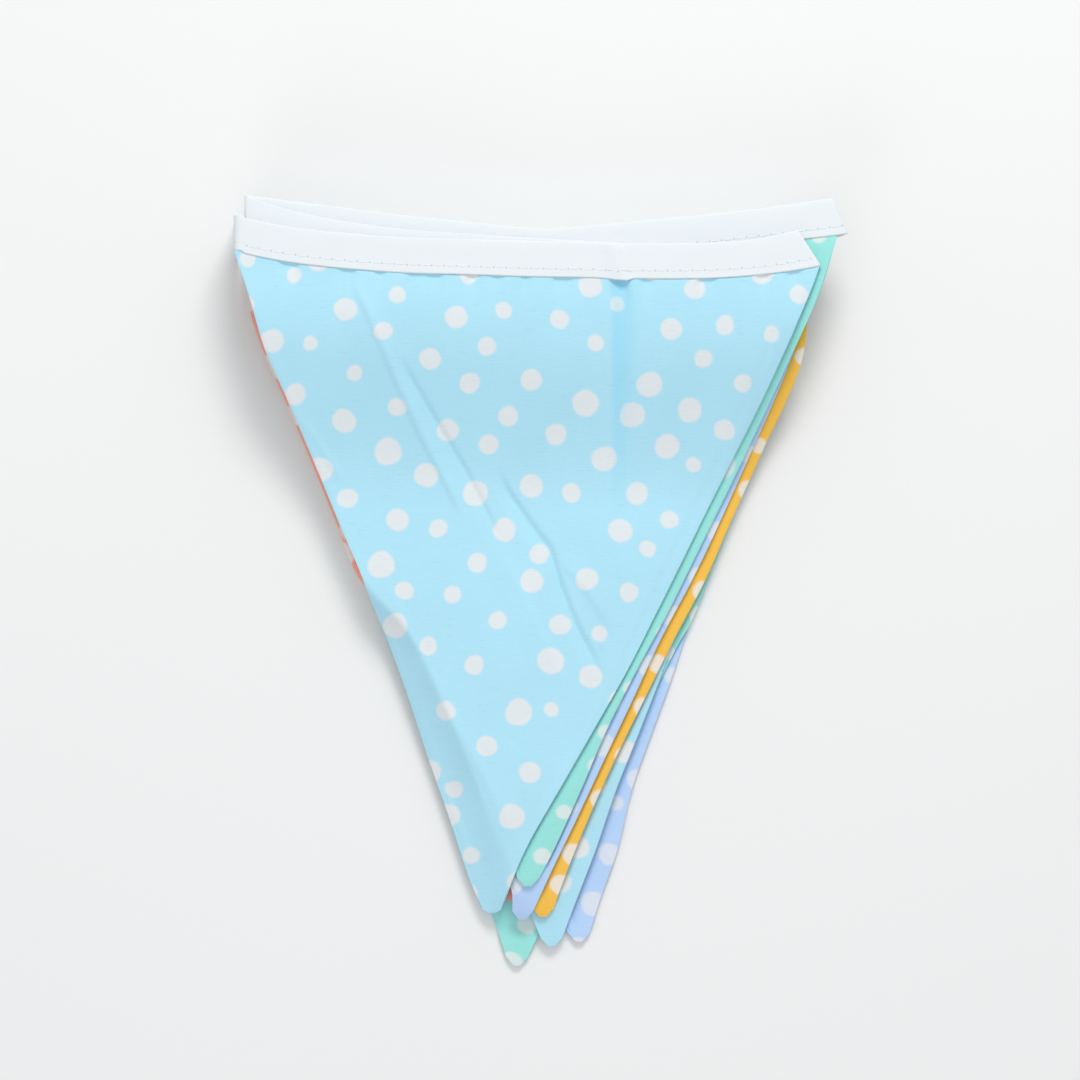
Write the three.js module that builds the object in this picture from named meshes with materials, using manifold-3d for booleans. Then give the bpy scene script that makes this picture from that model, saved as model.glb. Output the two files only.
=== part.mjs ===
// Fabric bunting, folded as a stack: ten pennants on one long white tape that runs back and forth.
// Millimetres, +Z up. The stack lies flat: its tape side points to +Y, the tips to -Y, and the top
// pennant faces up. The origin is at the middle of the stack's box, on the surface that it lies on.

import * as THREE from "three";
import { mergeVertices } from "three/addons/utils/BufferGeometryUtils.js";
import Module from "manifold-3d";

const wasm = await Module();
wasm.setup();

// Cloth. A pennant is two layers of cotton sewn and turned, and the tape is folded over its top edge.
const CLOTH = 1.05; // thickness of a pennant, and of the folded tape, with the air between their layers
const GAP = 0.3; // air between two pieces
const LAYER = CLOTH + GAP; // height of one layer in the stack
const TAPE_WIDTH = 11.5;
const TIP_WIDTH = 6.5; // a turned tip is blunt
const TIP_ROUND = 2.2;

// The stack, one row for each pennant from the top down. All places are [x, y] on the surface.
// tapeLeft and tapeRight are the ends of the tape's lower edge, sag is how far that edge hangs
// below the line between them, flat is how flat the bottom of that curve is, and slant is how far
// the tape's fold at the right leans, in mm for each mm of its width. cornerIn is how far the
// pennant's right corner stays inside the tape's end. left and right are places that its side
// edges pass through on the way down to the tip, the left ones after those of LEFT_SIDE.
// The left sides lie almost on each other, and each pennant's inset moves it in from this line.
const LEFT_SIDE = [
  [-94.2, 91.3], [-89.3, 75.1], [-82.2, 58.9], [-74.0, 39.5], [-66.1, 20.1], [-57.9, 0.6],
];
const PENNANTS = [
  {
    colour: 0xb4e4f4, tapeLeft: [-99.0, 106.8], tapeRight: [90.3, 101.9], sag: 5.8, flat: 4, slant: -0.65,
    cornerIn: 0.6, inset: 0.5, tip: [-15.8, -107.4],
    left: [[-49.5, -18.8], [-42.5, -38.2], [-36.2, -57.6], [-29.4, -77.0], [-23.0, -96.4]],
    right: [
      [85.8, 91.3], [72.8, 62.1], [58.5, 33.0], [47.4, 10.4], [37.6, -9.1], [27.0, -28.5], [15.7, -47.9],
      [4.9, -67.3], [-5.2, -86.7],
    ],
  },
  {
    colour: 0x93e5dd, tapeLeft: [-95.5, 113.3], tapeRight: [99.0, 112.3], sag: 10.4, flat: 1.2, slant: -0.42,
    cornerIn: 3.4, inset: 1.6, tip: [-4.2, -98.5],
    left: [[-43.4, -15.2], [-32.4, -37.7], [-18.4, -61.8], [-11.5, -80.0]],
    right: [
      [88.9, 91.3], [75.7, 62.1], [62.1, 33.0], [51.0, 10.4], [41.4, -9.1], [32.2, -28.5], [23.8, -47.9],
      [13.6, -67.3], [4.1, -86.7],
    ],
  },
  {
    colour: 0xafcaf6, tapeLeft: [-94.6, 105.8], tapeRight: [91.9, 104.6], sag: 5.0, flat: 4, slant: -0.2,
    cornerIn: 1.0, inset: 2.0, tip: [-6.0, -109.4],
    left: [[-42.6, -15.2], [-31.4, -37.7], [-19.5, -65.0], [-12.5, -91.0], [-9.3, -100.0]],
    right: [
      [80.6, 71.8], [68.3, 42.7], [58.3, 20.1], [48.9, 0.6], [38.6, -18.8], [29.6, -38.2], [20.4, -57.6],
      [11.4, -77.0], [3.6, -93.2],
    ],
  },
  {
    colour: 0xf5be48, tapeLeft: [-95.2, 104.8], tapeRight: [86.8, 104.6], sag: 5.0, flat: 4, slant: -0.15,
    cornerIn: 1.0, inset: 1.2, tip: [0.6, -108.6],
    left: [[-42.0, -15.2], [-30.8, -37.7]],
    right: [
      [84.8, 73.5], [71.8, 42.7], [61.7, 20.1], [53.2, 0.6], [43.0, -18.8], [33.4, -38.2], [23.9, -57.6],
      [15.2, -77.0], [8.6, -93.2],
    ],
  },
  {
    colour: 0xf0937f, tapeLeft: [-94.0, 105.2], tapeRight: [88.7, 105.4], sag: 4.6, flat: 4, slant: -0.2,
    cornerIn: 1.0, inset: -0.5, right: [[40.5, -1.0]], tip: [-9.4, -103.6],
    left: [[-43.0, -15.2], [-31.8, -37.7], [-20.4, -64.0]],
  },
  {
    colour: 0xb4e4f4, tapeLeft: [-94.8, 104.6], tapeRight: [89.0, 104.2], sag: 5.0, flat: 4, slant: -0.1,
    cornerIn: 1.0, inset: 1.5, tip: [3.4, -118.4],
    left: [[-42.2, -15.2], [-31.0, -37.7]],
    right: [
      [62.0, 33.0], [50.0, 0.6], [39.7, -28.5], [32.2, -47.9], [24.4, -67.3], [17.8, -86.7], [11.2, -104.0],
    ],
  },
  {
    colour: 0x93e5dd, tapeLeft: [-93.8, 105.4], tapeRight: [92.2, 104.2], sag: 4.8, flat: 4, slant: -0.2,
    cornerIn: 1.0, inset: 1.0, right: [[70.0, 42.0], [50.5, -9.1], [40.5, -28.5]], tip: [-7.8, -124.8],
    left: [[-47.5, -18.8], [-40.5, -38.2], [-33.0, -60.0], [-17.5, -103.0]],
  },
  {
    colour: 0xafcaf6, tapeLeft: [-94.4, 104.8], tapeRight: [87.6, 104.6], sag: 5.2, flat: 4, slant: -0.1,
    cornerIn: 1.0, inset: 1.8, tip: [12.4, -117.0],
    left: [[-42.5, -15.2], [-30.5, -37.7]],
    right: [
      [65.7, 40.0], [52.8, 0.0], [43.4, -28.5], [36.4, -47.9], [29.6, -67.3], [25.0, -86.7], [19.3, -102.9],
    ],
  },
  {
    colour: 0xf5be48, tapeLeft: [-94.2, 105.0], tapeRight: [88.2, 105.0], sag: 4.6, flat: 4, slant: -0.2,
    cornerIn: 1.0, inset: 1.4, right: [], tip: [-3.0, -104.0],
    left: [[-42.8, -15.2], [-31.2, -37.7]],
  },
  {
    colour: 0xf0937f, tapeLeft: [-95.6, 104.6], tapeRight: [85.0, 104.8], sag: 4.8, flat: 4, slant: -0.1,
    cornerIn: 1.0, inset: 1.1, right: [], tip: [-13.4, -102.4],
    left: [[-45.5, -15.2], [-38.5, -38.0], [-28.0, -72.0]],
  },
];
const LAST = PENNANTS.length - 1;

// The tape's two free ends lie under the stack, two runs of each. The one at the top pennant goes
// down round the left side of the stack first.
const END_RUNS = 4;
const TAPE_STEPS = 12; // steps along a run that shows
const HIDDEN_STEPS = 7;
const TURN_STEPS = 4;
const EDGE_EXTRA = 1; // a curved side has this many more points than it passes through
const FOLD_RADIUS = LAYER / 2; // middle radius of a fold
const FOLD_OUT = FOLD_RADIUS + CLOTH / 2; // a fold reaches this far past its centre
const WALL_X = PENNANTS[0].tapeLeft[0] + CLOTH / 2; // where the free end goes down the left side
const WALL_BEND = 2;
const SLANT_REACH = 26; // the tape starts to lean this far before a slanted fold
const WHITE = 0xeaf0f3;

// The pennants drape from the tape to the surface, each resting on those below.
const DRAPE_TOP = 95.4; // just below the lowest edge of the tape
const DRAPE_LENGTH = 72;
const REST_ON = 13; // a pennant still lies at full height this far past the edge of one below
const REST_OFF = 29; // and has come down a layer this far past it

// Grid that all pennants share, so that layer on layer keeps its gap: rows from tape to tips, and
// columns as parts of the row's half width.
const ROWS = [
  128, 108, DRAPE_TOP, 87, 78, 68, 57, 44, 30, 12, -8, -28, -48, -66, -82, -96, -108, -118, -130,
];
const COLUMNS = [-1, -0.9, -0.76, -0.5, -0.2, 0.1, 0.4, 0.68, 0.88, 1];
const GRID_TOP = { left: -112, right: 112 };
const GRID_TIP = { left: -36, right: 34, y: -130 };

// Creases that were pressed into the top pennant, as soft ridges: from, to, height and half width.
const CREASES = [
  { name: "long crease from the tape", from: [-61, 100], to: [-29, 30], height: 1.1, reach: 5 },
  { name: "its short neighbour", from: [-47, 71], to: [-24, 35], height: 0.7, reach: 4 },
  { name: "deep crease", from: [-14, 35], to: [21, -32], height: 1.5, reach: 4.5 },
  { name: "its fork", from: [10, 5], to: [28, -22], height: 0.9, reach: 4 },
  { name: "lower left crease", from: [-53, 5], to: [-11, -78], height: 1.1, reach: 5 },
  { name: "pleat at the tape", from: [27, 97], to: [27, 22], height: 1.0, reach: 6 },
];
const CREASE_LIFT = 0.25; // the creased pennant floats this much above the next

function smooth(t) {
  const s = THREE.MathUtils.clamp(t, 0, 1);
  return s * s * (3 - 2 * s);
}

// The layer of the tape that holds a pennant, from 0 at the bottom. A bare run lies between two.
function tapeLayer(i) {
  return END_RUNS + 2 * (LAST - i);
}

function layerHeight(layer) {
  return CLOTH / 2 + layer * LAYER;
}

// Height of the tape's lower edge above y = 0 at the part u of a run, from its left end to its right.
function runEdge(run, u) {
  const chord = THREE.MathUtils.lerp(run.left[1], run.right[1], u);
  return chord - run.sag * (1 - Math.abs(2 * u - 1) ** run.flat);
}

function boundRun(i) {
  const { tapeLeft, tapeRight, sag, flat, slant } = PENNANTS[i];
  return { left: tapeLeft, right: tapeRight, sag, flat, slant, steps: TAPE_STEPS };
}

// A bare run from the right end of one run back to the left end of the next.
function bareRun(above, below) {
  return {
    left: below.left,
    right: above.right,
    sag: (above.sag + below.sag) / 2,
    flat: Math.max(above.flat, below.flat),
    slant: above.slant,
    steps: HIDDEN_STEPS,
  };
}

// The edge of a run at x, on the straight stretch between two of its stations.
function edgeBetween(rings, x) {
  const before = rings.filter((s) => s.x <= x).length;
  const k = THREE.MathUtils.clamp(before, 1, rings.length - 1);
  const [a, b] = [rings[k - 1], rings[k]];
  const t = THREE.MathUtils.clamp((x - a.x) / (b.x - a.x), 0, 1);
  return THREE.MathUtils.lerp(a.edge, b.edge, t);
}

// Closed solid from rings of the same number of points, each joined to the next.
function loft(rings) {
  const n = rings[0].length;
  const positions = rings.flat().flatMap((p) => [p.x, p.y, p.z]);
  const index = [];
  for (let r = 0; r + 1 < rings.length; r++) {
    for (let k = 0; k < n; k++) {
      const a = r * n + k;
      const b = r * n + ((k + 1) % n);
      index.push(a, b, b + n, a, b + n, a + n);
    }
  }
  for (let k = 1; k + 1 < n; k++) {
    const end = (rings.length - 1) * n;
    index.push(0, k + 1, k, end, end + k, end + k + 1);
  }
  const geometry = new THREE.BufferGeometry();
  geometry.setAttribute("position", new THREE.Float32BufferAttribute(positions, 3));
  geometry.setIndex(index);
  return geometry;
}

// The whole tape: one band, folded back and forth.
function tapeGeometry() {
  const rings = [];

  // One ring across the tape. tilt turns the tape's face about its width, 0 on a run to the right.
  function ring(x, z, edge, tilt, lean) {
    const out = new THREE.Vector3(Math.sin(tilt), 0, Math.cos(tilt)).multiplyScalar(CLOTH / 2);
    const corner = (s, side) =>
      new THREE.Vector3(x + lean * s, edge + s, z).addScaledVector(out, side);
    rings.push([corner(0, -1), corner(TAPE_WIDTH, -1), corner(TAPE_WIDTH, 1), corner(0, 1)]);
  }

  function run(r, layer, rightwards, from, to) {
    const along = stations(r, from, to);
    if (!rightwards) along.reverse();
    for (const s of along) {
      const lean = r.slant * smooth(1 - (to - s.x) / SLANT_REACH);
      ring(s.x, layerHeight(layer), s.edge, rightwards ? 0 : Math.PI, lean);
    }
  }

  // A fold at the end of a run, from its layer to the one below. side is 1 at the right.
  function fold(x, layer, edge, lean, side) {
    const z = layerHeight(layer) - FOLD_RADIUS;
    for (let k = 1; k < TURN_STEPS; k++) {
      const a = (Math.PI * k) / TURN_STEPS;
      const tilt = side > 0 ? a : Math.PI - a;
      ring(x + side * FOLD_RADIUS * Math.sin(a), z + FOLD_RADIUS * Math.cos(a), edge, tilt, lean);
    }
  }

  // A quarter turn of the free end, from its angle on, as it goes up the left side.
  function quarter(middleZ, fromAngle) {
    for (let k = 0; k <= TURN_STEPS; k++) {
      const a = fromAngle + (Math.PI / 2) * (k / TURN_STEPS);
      const x = WALL_X + WALL_BEND + WALL_BEND * Math.sin(a);
      ring(x, middleZ + WALL_BEND * Math.cos(a), top.left[1], a, 0);
    }
  }

  const leftCentre = (r) => r.left[0] + FOLD_OUT;
  const rightCentre = (r) => r.right[0] - FOLD_OUT;
  const top = boundRun(0);
  const under = { ...boundRun(LAST), steps: HIDDEN_STEPS };
  const bottom = { ...under, left: top.left };

  // Free end of the top pennant: two runs at the bottom, then up the left side to the top run.
  run(bottom, 1, true, leftCentre(under), rightCentre(bottom));
  fold(rightCentre(bottom), 1, bottom.right[1], bottom.slant, 1);
  run(bottom, 0, false, WALL_X + WALL_BEND + 1, rightCentre(bottom));
  quarter(layerHeight(0) + WALL_BEND, Math.PI);
  quarter(layerHeight(tapeLayer(0)) - WALL_BEND, 1.5 * Math.PI);

  // Runs from pennant to pennant, with a bare run between.
  PENNANTS.forEach((_, i) => {
    const r = boundRun(i);
    run(r, tapeLayer(i), true, ...boundSpan(i));
    fold(rightCentre(r), tapeLayer(i), r.right[1], r.slant, 1);
    const next = i < LAST ? boundRun(i + 1) : under;
    const back = bareRun(r, next);
    run(back, tapeLayer(i) - 1, false, leftCentre(back), rightCentre(back));
    fold(leftCentre(back), tapeLayer(i) - 1, back.left[1], 0, -1);
  });
  run({ ...under, slant: 0 }, END_RUNS - 2, true, leftCentre(under), rightCentre(under) - 6);
  return loft(rings);
}

// Places along a run where the tape has a ring, from left to right.
function stations(r, from, to) {
  return Array.from({ length: r.steps + 1 }, (_, k) => {
    const x = THREE.MathUtils.lerp(from, to, k / r.steps);
    return { x, edge: runEdge(r, (x - r.left[0]) / (r.right[0] - r.left[0])) };
  });
}

// Where the bound run of a pennant starts and ends, between its folds.
function boundSpan(i) {
  const r = boundRun(i);
  return [i ? r.left[0] + FOLD_OUT : WALL_X + WALL_BEND + 1, r.right[0] - FOLD_OUT];
}

// Outline of a pennant on the surface, as a shape. Its top follows the tape's lower edge.
function outline(i) {
  const p = PENNANTS[i];
  const rings = stations(boundRun(i), ...boundSpan(i));
  const from = p.tapeLeft[0] + GAP;
  const to = p.tapeRight[0] - p.cornerIn;
  const inner = rings.filter((s) => s.x > from + 1 && s.x < to - 1);
  const top = [
    new THREE.Vector2(from, edgeBetween(rings, from) - GAP),
    ...inner.map((s) => new THREE.Vector2(s.x, s.edge - GAP)),
    new THREE.Vector2(to, edgeBetween(rings, to) - GAP),
  ];
  const [left, right] = [top[0], top.at(-1)];
  const tip = new THREE.Vector2(...p.tip);
  const half = TIP_WIDTH / 2;
  const side = (corner, through, tipX) => {
    const end = new THREE.Vector2(tipX, tip.y + TIP_ROUND);
    const points = [corner, ...through.map((q) => new THREE.Vector2(...q)), end];
    return through.length ? new THREE.SplineCurve(points).getPoints(points.length + EDGE_EXTRA) : points;
  };
  const downRight = side(right, p.right, tip.x + half);
  const leftThrough = [...LEFT_SIDE.map(([x, y]) => [x + p.inset, y]), ...p.left];
  const upLeft = side(left, leftThrough, tip.x - half).reverse();
  const shape = new THREE.Shape(top);
  downRight.slice(1).forEach((q) => shape.lineTo(q.x, q.y));
  shape.quadraticCurveTo(tip.x + half, tip.y, tip.x + half - TIP_ROUND, tip.y);
  shape.lineTo(tip.x - half + TIP_ROUND, tip.y);
  shape.quadraticCurveTo(tip.x - half, tip.y, tip.x - half, tip.y + TIP_ROUND);
  upLeft.slice(1, -1).forEach((q) => shape.lineTo(q.x, q.y));
  shape.closePath();
  return shape;
}

// Distance on the surface from a line to a point.
function distanceTo(line, x, y) {
  const point = new THREE.Vector3(x, y, 0);
  if (line.distanceSq() === 0) return line.start.distanceTo(point);
  return line.closestPointToPoint(point, true, new THREE.Vector3()).distanceTo(point);
}

// Distance from a point of the surface to the side edges and tip of a pennant, 0 inside.
function distancePast(i, x, y) {
  const p = PENNANTS[i];
  const points = outlines[i];
  const yIn = Math.min(y, p.tapeLeft[1] - p.sag - GAP);
  let nearest = Infinity;
  let inside = false;
  for (let k = 0, j = points.length - 1; k < points.length; j = k++) {
    const a = points[j];
    const b = points[k];
    const edge = new THREE.Line3(new THREE.Vector3(a.x, a.y), new THREE.Vector3(b.x, b.y));
    if (a.y > yIn !== b.y > yIn && x < a.x + ((yIn - a.y) / (b.y - a.y)) * (b.x - a.x)) inside = !inside;
    nearest = Math.min(nearest, distanceTo(edge, x, yIn));
  }
  return inside ? 0 : nearest;
}

// How far the drape has come down: 1 at the tape, 0 where the pennants lie flat.
function hang(y) {
  return smooth(1 - (DRAPE_TOP - y) / DRAPE_LENGTH);
}

// Middle height of a pennant's cloth, at a point of the shared grid.
function drape(i, x, y) {
  let height = CLOTH / 2 + (tapeLayer(i) - (LAST - i)) * LAYER * hang(y);
  for (let below = i + 1; below <= LAST; below++) {
    const held = smooth(1 - (distancePast(below, x, y) - REST_ON) / (REST_OFF - REST_ON));
    height += LAYER * Math.max(held, hang(y));
  }
  return height;
}

function creaseHeight(x, y) {
  let height = 0;
  for (const c of CREASES) {
    const line = new THREE.Line3(new THREE.Vector3(...c.from, 0), new THREE.Vector3(...c.to, 0));
    height = Math.max(height, c.height * Math.exp(-((distanceTo(line, x, y) / c.reach) ** 2)));
  }
  return height;
}

// The shared grid's points, by row and column.
function gridPoints(heightAt) {
  return ROWS.map((y) => {
    const t = (y - GRID_TIP.y) / (ROWS[0] - GRID_TIP.y);
    const left = THREE.MathUtils.lerp(GRID_TIP.left, GRID_TOP.left, t);
    const right = THREE.MathUtils.lerp(GRID_TIP.right, GRID_TOP.right, t);
    return COLUMNS.map((c) => {
      const x = (left + right) / 2 + (c * (right - left)) / 2;
      return new THREE.Vector3(x, y, heightAt(x, y));
    });
  });
}

// Two triangles for each cell, each cut into parts * parts smaller ones in its own plane.
function gridTriangles(rows, parts) {
  const triangles = [];
  const cut = (a, b, c) => {
    const at = (i, j) =>
      new THREE.Vector3()
        .addScaledVector(a, 1 - (i + j) / parts)
        .addScaledVector(b, i / parts)
        .addScaledVector(c, j / parts);
    for (let i = 0; i < parts; i++) {
      for (let j = 0; i + j < parts; j++) {
        triangles.push([at(i, j), at(i + 1, j), at(i, j + 1)]);
        if (i + j + 1 < parts) triangles.push([at(i + 1, j), at(i + 1, j + 1), at(i, j + 1)]);
      }
    }
  };
  for (let r = 0; r + 1 < rows.length; r++) {
    for (let c = 0; c + 1 < COLUMNS.length; c++) {
      cut(rows[r][c], rows[r + 1][c], rows[r + 1][c + 1]);
      cut(rows[r][c], rows[r + 1][c + 1], rows[r][c + 1]);
    }
  }
  return triangles;
}

// Sheet of cloth over the whole grid, as a closed solid of even height, raised by relief(x, y).
function sheet(heightAt, parts, relief) {
  const triangles = gridTriangles(gridPoints(heightAt), parts);
  const positions = [];
  const edges = new Map();
  const key = (p) => `${p.x.toFixed(4)},${p.y.toFixed(4)}`;
  const put = (p, dz) => positions.push(p.x, p.y, p.z + relief(p.x, p.y) + dz);
  for (const [a, b, c] of triangles) {
    [a, b, c].forEach((p) => put(p, CLOTH / 2));
    [a, c, b].forEach((p) => put(p, -CLOTH / 2));
    for (const [p, q] of [[a, b], [b, c], [c, a]]) {
      const back = `${key(q)}|${key(p)}`;
      if (edges.has(back)) edges.delete(back);
      else edges.set(`${key(p)}|${key(q)}`, [p, q]);
    }
  }
  const rim = [[0, -1], [1, -1], [1, 1], [0, -1], [1, 1], [0, 1]]; // which end of the edge, and side
  for (const ends of edges.values()) {
    for (const [end, face] of rim) put(ends[end], (face * CLOTH) / 2);
  }
  const geometry = new THREE.BufferGeometry();
  geometry.setAttribute("position", new THREE.Float32BufferAttribute(positions, 3));
  return geometry;
}

// Boolean solid of a geometry, and back.
function solid(geometry) {
  const bare = new THREE.BufferGeometry();
  bare.setAttribute("position", geometry.getAttribute("position"));
  if (geometry.index) bare.setIndex(geometry.index);
  const merged = mergeVertices(bare, 1e-4);
  return new wasm.Manifold(
    new wasm.Mesh({
      numProp: 3,
      vertProperties: merged.attributes.position.array,
      triVerts: new Uint32Array(merged.index.array),
    }),
  );
}

function geometryOf(manifold) {
  const mesh = manifold.getMesh();
  const geometry = new THREE.BufferGeometry();
  geometry.setAttribute("position", new THREE.BufferAttribute(mesh.vertProperties, 3));
  geometry.setIndex(new THREE.BufferAttribute(mesh.triVerts, 1));
  geometry.computeVertexNormals();
  return geometry;
}

function clothMaterial(colour) {
  return new THREE.MeshStandardMaterial({ color: colour, roughness: 0.85, metalness: 0 });
}

const outlines = PENNANTS.map((_, i) => outline(i).getPoints(3));

// A pennant is cut by its outline from a sheet that drapes over those below.
function pennantGeometry(i) {
  const onTop = i === 0;
  const relief = onTop ? (x, y) => CREASE_LIFT + creaseHeight(x, y) : () => 0;
  const cloth = solid(sheet((x, y) => drape(i, x, y), onTop ? 2 : 1, relief));
  const cutter = new THREE.ExtrudeGeometry(outline(i), { depth: 80, bevelEnabled: false, curveSegments: 3 });
  cutter.translate(0, 0, -20);
  return geometryOf(cloth.intersect(solid(cutter)));
}

const bunting = new THREE.Group();

const tape = new THREE.Mesh(tapeGeometry(), clothMaterial(WHITE));
tape.name = "tape";
bunting.add(tape);

PENNANTS.forEach((p, i) => {
  const pennant = new THREE.Mesh(pennantGeometry(i), clothMaterial(p.colour));
  pennant.name = `pennant_${String(i + 1).padStart(2, "0")}`;
  bunting.add(pennant);
});

export default bunting;
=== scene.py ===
# %% [markdown]
# # A folded fabric bunting
#
# Ten triangular cotton pennants are sewn along one white tape. The tape is folded back and forth, so the
# pennants lie on each other as a stack, tips together. This notebook builds the soft, fine surface of that
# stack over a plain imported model: the drape and creases of each pennant, the folded tape with its stitches,
# the dotted cotton, and a simple studio around it.
#
# Lengths are worked out in millimetres, as a maker would measure them, and turned into Blender's metres at
# the moment a mesh is filled in.

# %% Load the frame
import math

import bpy
import numpy as np
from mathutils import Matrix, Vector


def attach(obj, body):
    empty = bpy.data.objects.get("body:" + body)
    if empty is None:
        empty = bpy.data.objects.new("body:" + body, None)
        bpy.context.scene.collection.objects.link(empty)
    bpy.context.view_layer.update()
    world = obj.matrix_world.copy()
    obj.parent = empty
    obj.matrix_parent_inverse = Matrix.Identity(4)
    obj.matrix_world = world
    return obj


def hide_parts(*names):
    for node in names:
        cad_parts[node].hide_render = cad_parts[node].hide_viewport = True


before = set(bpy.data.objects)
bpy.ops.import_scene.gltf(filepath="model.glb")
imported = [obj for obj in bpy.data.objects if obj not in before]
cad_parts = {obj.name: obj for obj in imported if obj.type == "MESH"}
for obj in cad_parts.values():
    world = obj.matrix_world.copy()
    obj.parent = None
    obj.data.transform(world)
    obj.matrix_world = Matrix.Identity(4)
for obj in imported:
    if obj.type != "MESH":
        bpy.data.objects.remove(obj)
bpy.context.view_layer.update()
MM = 0.001
print("packed pieces:", ", ".join(sorted(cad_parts)))

# %% [markdown]
# ## The sizes that drive the stack
#
# Every pennant is a row of one table, from the top of the stack down. `tape_left` and `tape_right` are the
# ends of the tape's lower edge over that pennant, and `sag` is how far the edge hangs below the line
# between them. `flat` says how flat the bottom of that curve is, and `slant` how far the tape's fold at the
# right leans. `corner_in` moves the pennant's right corner in from the end of the tape. `left` and `right`
# are places that the side edges pass through on their way to the tip. Where there is a `shift`, the cloth was
# cut that much further along its print.

# %% Sizes in millimetres
CLOTH = 1.05  # thickness of a pennant, and of the folded tape
GAP = 0.3  # air between one layer and the next
LAYER = CLOTH + GAP
TAPE_WIDTH = 11.5  # once it is folded lengthwise
TIP_WIDTH = 6.5
TIP_ROUND = 2.2
FOLD_RADIUS = LAYER / 2  # of a U-turn, to the middle of the tape
FOLD_OUT = FOLD_RADIUS + CLOTH / 2  # and to its outside
SLANT_REACH = 26.0  # a slanting fold leans the tape over this length
END_RUNS = 4  # runs of the two free ends, below the lowest pennant
DRAPE_TOP = 95.4  # below here the pennants come down from the tape
DRAPE_LENGTH = 72.0  # and this much further down they lie on each other

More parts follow.
